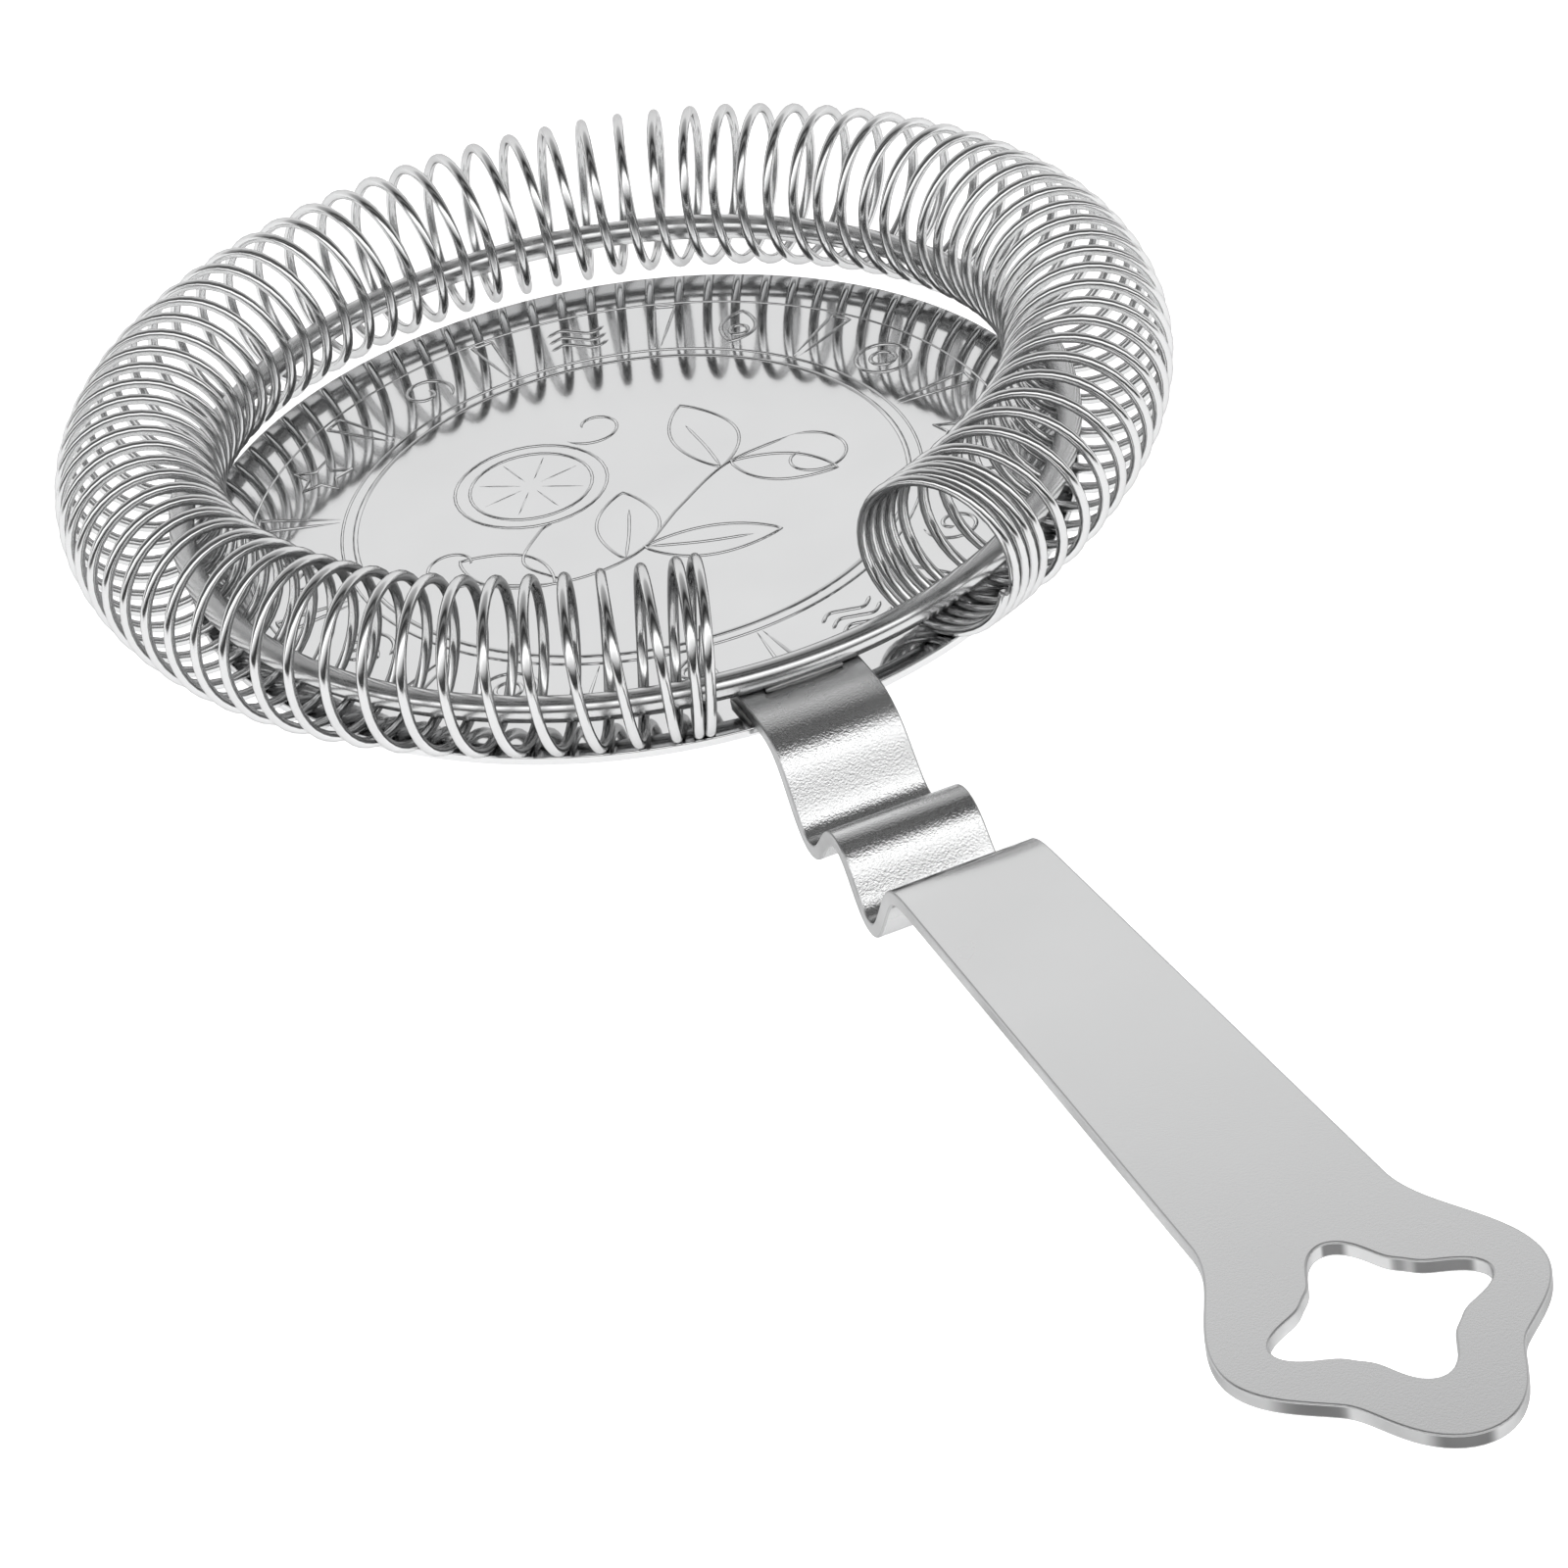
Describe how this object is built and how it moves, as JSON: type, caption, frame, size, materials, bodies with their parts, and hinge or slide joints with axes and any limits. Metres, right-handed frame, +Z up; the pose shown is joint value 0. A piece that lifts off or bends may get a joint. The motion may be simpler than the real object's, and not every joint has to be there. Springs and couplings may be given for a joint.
{
  "type": "hawthorne strainer",
  "caption": "Round stamped strainer plate with a coil spring threaded on a welded wire ring, and a crimped flat handle ending in a four-lobed loop.",
  "frame": {"origin": "centre of the plate's underside", "axes": "+Z up through the plate towards the spring side; the handle runs along -Y; +X to the right seen from the handle's end looking at the plate"},
  "size_m": [0.0928, 0.1942, 0.0214],
  "materials": {
    "plate_steel": "mirror-polished stainless steel with stamped relief lines",
    "ring_steel": "polished stainless wire",
    "spring_wire": "bright drawn spring wire",
    "handle_steel": "fine satin stainless steel",
    "weld_steel": "dull weld bead"
  },
  "bodies": {
    "frame": {"strainer_plate": "plate_steel", "retaining_ring": "ring_steel", "handle_strap": "handle_steel", "ring_weld_beads": "weld_steel", "strap_weld_beads": "weld_steel"},
    "spring": {"spring_coil": "spring_wire"}
  },
  "joints": [
    {"name": "spring_round_ring", "type": "hinge", "parent": "frame", "child": "spring", "pos_m": [0.001, 0.004, 0.008], "axis": [0, 0, 1], "range_deg": [-8.2, 1.6]}
  ]
}
